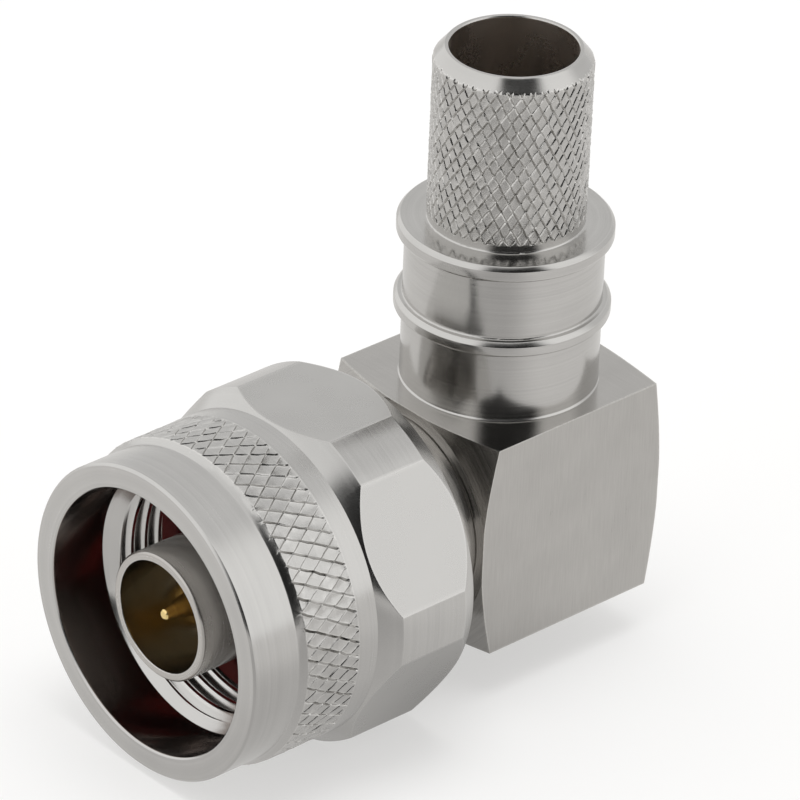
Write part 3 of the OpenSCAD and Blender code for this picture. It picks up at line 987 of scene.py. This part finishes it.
# ---------------------------------------------------------------- elbow block
def make_block():
    half = 7.05
    flat_f, flat_b = 7.25, 7.2
    front, rear = 7.35, -7.05

    def front_t(r):
        return front if r <= flat_f else front - (r - flat_f) * 1.03 / (half * 1.45 - flat_f)

    def rear_t(r):
        return rear if r <= flat_b else rear + (r - flat_b) * 0.7 / (half * 1.45 - flat_b)

    angles = {round(TAU * i / 288, 9) for i in range(288)}
    for q in range(4):
        for fl in (flat_f, flat_b):
            w = math.acos(half / fl)
            for sgn in (-1, 1):
                angles.add(round((q * math.pi / 2 + sgn * w) % TAU, 9))
    angles = sorted(angles)
    n = len(angles)

    def side(w):
        return half / max(abs(math.cos(w)), abs(math.sin(w)))

    sh = Shell()

    def loop(radius, t_of):
        base = len(sh.v)
        for w in angles:
            r = radius(w)
            sh.v.append((r * math.cos(w), r * math.sin(w), t_of(r)))
        return list(range(base, base + n))

    rows = [[len(sh.v)]]
    sh.v.append((0, 0, front))
    for r0 in (3.0, 5.0, 6.4, flat_f):
        rows.append(loop(lambda w, r0=r0: min(r0, side(w)), front_t))
    for k in (0.35, 0.7, 1.0):
        rows.append(loop(lambda w, k=k: flat_f + (side(w) - flat_f) * k if side(w) > flat_f else side(w), front_t))
    for x in (0.25, 0.5, 0.75):
        base = len(sh.v)
        for w in angles:
            r = side(w)
            a, b = front_t(r), rear_t(r)
            sh.v.append((r * math.cos(w), r * math.sin(w), a + (b - a) * x))
        rows.append(list(range(base, base + n)))
    for k in (1.0, 0.7, 0.35):
        rows.append(loop(lambda w, k=k: flat_b + (side(w) - flat_b) * k if side(w) > flat_b else side(w), rear_t))
    for r0 in (flat_b, 6.4, 5.0, 3.0):
        rows.append(loop(lambda w, r0=r0: min(r0, side(w)), rear_t))
    rows.append([len(sh.v)])
    sh.v.append((0, 0, rear))
    for a, b in zip(rows, rows[1:]):
        sh.band(a, b)
    m = sh.bm()
    bmesh.ops.remove_doubles(m, verts=m.verts[:], dist=1e-5)
    bmesh.ops.dissolve_degenerate(m, edges=m.edges[:], dist=1e-6)
    bmesh.ops.recalc_face_normals(m, faces=m.faces[:])
    m.normal_update()
    edges = [e for e in m.edges if len(e.link_faces) == 2 and e.calc_face_angle(0) > math.radians(24)]
    bmesh.ops.bevel(m, geom=edges, offset=0.085, offset_type="OFFSET", segments=3, profile=0.5, affect="EDGES", clamp_overlap=True)
    bmesh.ops.recalc_face_normals(m, faces=m.faces[:])
    for v in m.verts:
        v.co = to_mating(v.co)
        v.co = v.co * 1000.0
    bmesh.ops.recalc_face_normals(m, faces=m.faces[:])
    block = bpy.data.meshes.new("block")
    m.to_mesh(block)
    m.free()

    def cutter(profile, place):
        me = solid(profile, 144)
        for v in me.vertices:
            v.co = Vector(place(v.co)) * 1000.0
        b = bmesh.new()
        b.from_mesh(me)
        bmesh.ops.recalc_face_normals(b, faces=b.faces[:])
        b.to_mesh(me)
        b.free()
        return me

    bore = cutter([(0, 8.5), (5.61, 8.5), (5.61, 5.39), (4.6, 5.39), (4.6, -4.99), (5.21, -4.99), (5.21, -8.2), (0, -8.2)], to_mating)
    block = boolean(block, bore, "DIFFERENCE")
    seat = cutter([(0, 8.2), (5.01, 8.2), (5.01, 4.9), (3.4, 4.9), (3.4, 0.5), (0, 0.5)], to_cable)
    block = boolean(block, seat, "DIFFERENCE")
    b = bmesh.new()
    b.from_mesh(block)
    me = mesh_from(b, "elbow_body_looks", lambda p: (p[0] * MM, p[1] * MM, p[2] * MM))
    return me


piece("elbow_body_looks", make_block(), "elbow_body", "plug_body", "block_metal", block_n.m, 11)


# ---------------------------------------------------------------- crimp stem
def mouth(t):
    """Radius of the taper at the stem's mouth."""
    return 4.79 - (t - 28.2) * 0.69 / 0.83


def make_stem():
    sh = Shell()
    low, high = 18.2, 29.0
    k_low, k_high = 18.05, 28.5

    def limit(t):
        if t > 28.2:
            return mouth(t)
        if t < 18.35:
            return 4.715 + 0.075 * min(1.0, max(0.0, (t - 18.2) / 0.15))
        return 4.79

    def ease(t):
        return min(1.0, max(0.0, (t - 18.15) / 0.1)) * min(1.0, max(0.0, (28.42 - t) / 0.08))

    kv, kf = knurl(42, 0.95, 0.76, 4.79, 0.075, 0.075, 0.085, 0.085, 0.026, k_low, k_high, [18.15, 18.25, 18.35, 28.2, 28.27, 28.34, 28.42], limit, ease, 5.0, 0.04, (0.02, 0.02), 0.004, 0.45)
    base = sh.take(kv, kf)
    outer = rounded(
        [(3.84, 4.91, 0.0), (4.85, 4.91, 0.03), (5.0, 5.06, 0.03), (5.0, 7.05, 0.0), (6.09, 7.05, 0.0), (6.09, 7.08, 0.02), (6.0, 7.17, 0.06), (6.0, 9.3), (6.0, 11.55, 0.12), (6.37, 11.65, 0.06),
         (6.52, 11.8, 0.12), (6.52, 12.35, 0.12), (6.30, 12.6, 0.09), (6.0, 12.6, 0.1), (6.0, 14.6), (6.0, 16.6, 0.12), (6.37, 16.7, 0.06),
         (6.52, 16.85, 0.12), (6.52, 17.45, 0.12), (6.30, 17.7, 0.09), (4.715, 17.7, 0.12), (4.715, 17.98)]
    )
    a, b = sh.turn(outer, 224)
    sh.zip(edge_loop(sh, base, len(kv), k_low), b)
    top = rounded([(mouth(28.52), 28.52), (4.1, 29.03, 0.05), (3.9, 29.03, 0.04), (3.84, 28.95, 0.05), (3.84, 20.0, 0.0), (3.84, 12.0, 0.0)])
    c, d = sh.turn(top, 224)
    sh.zip(edge_loop(sh, base, len(kv), k_high), c)
    sh.band(d, a)
    return mesh_from(sh.bm(), "crimp_stem_looks", to_cable)


piece("crimp_stem_looks", make_stem(), "crimp_stem", "plug_body", "stem_metal", stem_n.m, 30)

# inner pieces keep their CAD meshes
for node, mat, slot in (
    ("snap_ring", bronze_n.m, "spring_bronze"),
    ("angle_contact", gold_inner_n.m, "gold_plate"),
    ("rear_insulator", ptfe_inner_n.m, "white_ptfe"),
):
    o = frame["nodes"][node]
    o.data.materials.clear()
    o.data.materials.append(mat)
    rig.slot(o, slot)

# ---------------------------------------------------------------- floor, light, camera
FLOOR = -10.33 * MM


def plain(name, color, rough):
    n = Nodes(name)
    tc = n.t.nodes.new("ShaderNodeTexCoord")
    f = n.noise(n.vmath("SCALE", tc.outputs["Object"], 60.0), 1.0, 2.0, 0.5)
    n.link(n.mix(f, color, tuple(c * 0.985 for c in color)), n.b.inputs["Base Color"])
    n.b.inputs["Roughness"].default_value = rough
    n.b.inputs["Specular IOR Level"].default_value = 0.2
    n.b.inputs["Emission Color"].default_value = (1, 0.995, 0.985, 1)
    n.b.inputs["Emission Strength"].default_value = 0.5
    return n.m


me = bpy.data.meshes.new("floor")
s = 3.0
me.from_pydata([(-s, -s, FLOOR), (s, -s, FLOOR), (s, s, FLOOR), (-s, s, FLOOR)], [], [(0, 1, 2, 3)])
floor = bpy.data.objects.new("floor", me)
me.materials.append(plain("floor_paper", (0.44, 0.44, 0.44), 0.9))
bpy.context.scene.collection.objects.link(floor)
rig.stage(floor)

CENTRE = Vector((0.0, 0.012, 0.006))


def direction(az, el):
    a, e = math.radians(az), math.radians(el)
    return Vector((math.sin(a) * math.cos(e), -math.cos(a) * math.cos(e), math.sin(e)))


def softbox(name, az, el, dist, width, height, power, color=(1, 1, 1)):
    light = bpy.data.lights.new(name, "AREA")
    light.shape = "RECTANGLE"
    light.size, light.size_y = width, height
    light.energy = power
    light.color = color
    o = bpy.data.objects.new(name, light)
    bpy.context.scene.collection.objects.link(o)
    d = direction(az, el)
    o.location = CENTRE + d * dist
    o.rotation_mode = "QUATERNION"
    o.rotation_quaternion = d.to_track_quat("Z", "Y")
    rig.stage(o)
    return o


top = softbox("top_light", 60, 86, 0.6, 0.34, 0.34, 1.5)
top.visible_glossy = False


def studio_world():
    """Soft white walls all round and overhead, with a dark gap behind the camera."""
    world = bpy.data.worlds.new("studio")
    world.use_nodes = True
    t = world.node_tree
    bg = t.nodes["Background"]

    def m(op, a, b=0.0, c=0.0, clamp=False):
        n = t.nodes.new("ShaderNodeMath")
        n.operation = op
        n.use_clamp = clamp
        for v, s in zip((a, b, c), n.inputs):
            if isinstance(v, bpy.types.NodeSocket):
                t.links.new(v, s)
            else:
                s.default_value = v
        return n.outputs[0]

    def step(v, at, soft):
        n = t.nodes.new("ShaderNodeMapRange")
        n.interpolation_type = "SMOOTHSTEP"
        t.links.new(v, n.inputs[0])
        n.inputs[1].default_value = at - soft
        n.inputs[2].default_value = at + soft
        return n.outputs[0]

    def window(v, a, b, soft):
        return m("SUBTRACT", step(v, a, soft), step(v, b, soft))

    tc = t.nodes.new("ShaderNodeTexCoord")
    s = t.nodes.new("ShaderNodeSeparateXYZ")
    t.links.new(tc.outputs["Generated"], s.inputs[0])
    az = m("DEGREES", m("ARCTAN2", s.outputs[0], m("MULTIPLY", s.outputs[1], -1.0)))
    el = m("DEGREES", m("ARCSINE", s.outputs[2]))
    total = None
    for a, b, soft, c, d, soft2, level in WALLS:
        w = m("MULTIPLY", m("MULTIPLY", window(az, a, b, soft), window(el, c, d, soft2)), level)
        total = w if total is None else m("ADD", total, w)
    t.links.new(m("ADD", total, AMBIENT), bg.inputs["Strength"])
    bg.inputs["Color"].default_value = (1.0, 0.995, 0.985, 1)
    bpy.context.scene.world = world


def reflected_floor():
    """The floor as reflections see it: a glowing card, even and pale, with painted shade towards the camera and a
    painted shadow of the object under it.
    """
    half = 0.9
    me = bpy.data.meshes.new("reflected_floor")
    me.from_pydata([(-half, -half, FLOOR + 0.0002), (half, -half, FLOOR + 0.0002), (half, half, FLOOR + 0.0002), (-half, half, FLOOR + 0.0002)], [], [(0, 1, 2, 3)])
    k = Nodes("reflected_floor")
    tc = k.t.nodes.new("ShaderNodeTexCoord")
    s = k.t.nodes.new("ShaderNodeSeparateXYZ")
    k.link(tc.outputs["Object"], s.inputs[0])
    x = k.math("MULTIPLY", s.outputs[0], 1000.0)
    y = k.math("MULTIPLY", s.outputs[1], 1000.0)

    def shade_blob(cx, cy, rx, ry, turn, soft=0.5):
        c, sn = math.cos(math.radians(turn)), math.sin(math.radians(turn))
        dx = k.math("SUBTRACT", x, cx)
        dy = k.math("SUBTRACT", y, cy)
        u = k.math("DIVIDE", k.math("ADD", k.math("MULTIPLY", dx, c), k.math("MULTIPLY", dy, sn)), rx)
        v = k.math("DIVIDE", k.math("SUBTRACT", k.math("MULTIPLY", dy, c), k.math("MULTIPLY", dx, sn)), ry)
        d = k.math("SQRT", k.math("ADD", k.math("MULTIPLY", u, u), k.math("MULTIPLY", v, v)))
        m = k.t.nodes.new("ShaderNodeMapRange")
        m.interpolation_type = "SMOOTHSTEP"
        k.link(d, m.inputs[0])
        m.inputs[1].default_value = 1 - soft
        m.inputs[2].default_value = 1 + soft
        m.inputs[3].default_value = 1.0
        m.inputs[4].default_value = 0.0
        return m.outputs[0]

    level = FLOOR_LEVEL
    # each listed patch paints shade on the card: the object's shadow under it, and shade towards the camera
    for (cx, cy, rx, ry, turn, depth) in FLOOR_PAINTED_SHADE:
        level = k.math("MULTIPLY", level, k.math("SUBTRACT", 1.0, k.math("MULTIPLY", shade_blob(cx, cy, rx, ry, turn), depth)))
    e = k.t.nodes.new("ShaderNodeEmission")
    e.inputs["Color"].default_value = (1.0, 0.985, 0.965, 1)
    k.link(level, e.inputs["Strength"])
    k.link(e.outputs[0], k.out.inputs[0])
    me.materials.append(k.m)
    o = bpy.data.objects.new("reflected_floor", me)
    bpy.context.scene.collection.objects.link(o)
    o.visible_camera = False
    o.visible_shadow = False
    o.visible_diffuse = False
    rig.stage(o)


FLOOR_LEVEL = 0.8
# painted shade on the reflected floor, one patch a line: centre, half axes in millimetres, turn in degrees, how much
# darker
FLOOR_PAINTED_SHADE = [
    (62, -40, 30, 75, 47, 0.35),
    (0, 20, 10.5, 13, 0, 0.5),
]
reflected_floor()

AMBIENT = 0.015
# azimuth from, to, softness, elevation from, to, softness, brightness
WALLS = [
    (96, 150, 9, -20, 60, 5, 1.1),
    (150, 400, 8, -20, 60, 5, 0.74),
    (-400, -105, 8, -20, 60, 5, 0.74),
    (-105, 24, 8, -20, 60, 5, 1.05),
    (-400, 400, 6, 60, 200, 5, 0.86),
]
studio_world()

AZ, EL, ROLL = map(math.radians, (46.836, 30.23, 2.36))
back = Vector((math.sin(AZ) * math.cos(EL), -math.cos(AZ) * math.cos(EL), math.sin(EL)))
right = Vector((0, 0, 1)).cross(back).normalized()
up = back.cross(right)
cr, sr = math.cos(ROLL), math.sin(ROLL)
rx = cr * right + sr * up
ry = -sr * right + cr * up
eye = (rx * -5.67 + ry * 4.324 + back * 425.659 + Vector((0, 26.6, 0))) * MM
cam = bpy.data.cameras.new("camera")
cam.sensor_width = 36.0
cam.lens = 7021.859 / 800 * 36
cam.clip_start, cam.clip_end = 0.01, 20.0
co = bpy.data.objects.new("camera", cam)
bpy.context.scene.collection.objects.link(co)
co.matrix_world = Matrix(
    ((rx.x, ry.x, back.x, eye.x), (rx.y, ry.y, back.y, eye.y), (rx.z, ry.z, back.z, eye.z), (0, 0, 0, 1))
)
bpy.context.scene.camera = co
bpy.context.scene.view_settings.view_transform = "Standard"

lo_end, hi_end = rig.bounds()
with open("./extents.json", "w") as f:
    json.dump({"cad": [list(lo_cad), list(hi_cad)], "looks": [list(lo_end), list(hi_end)]}, f)
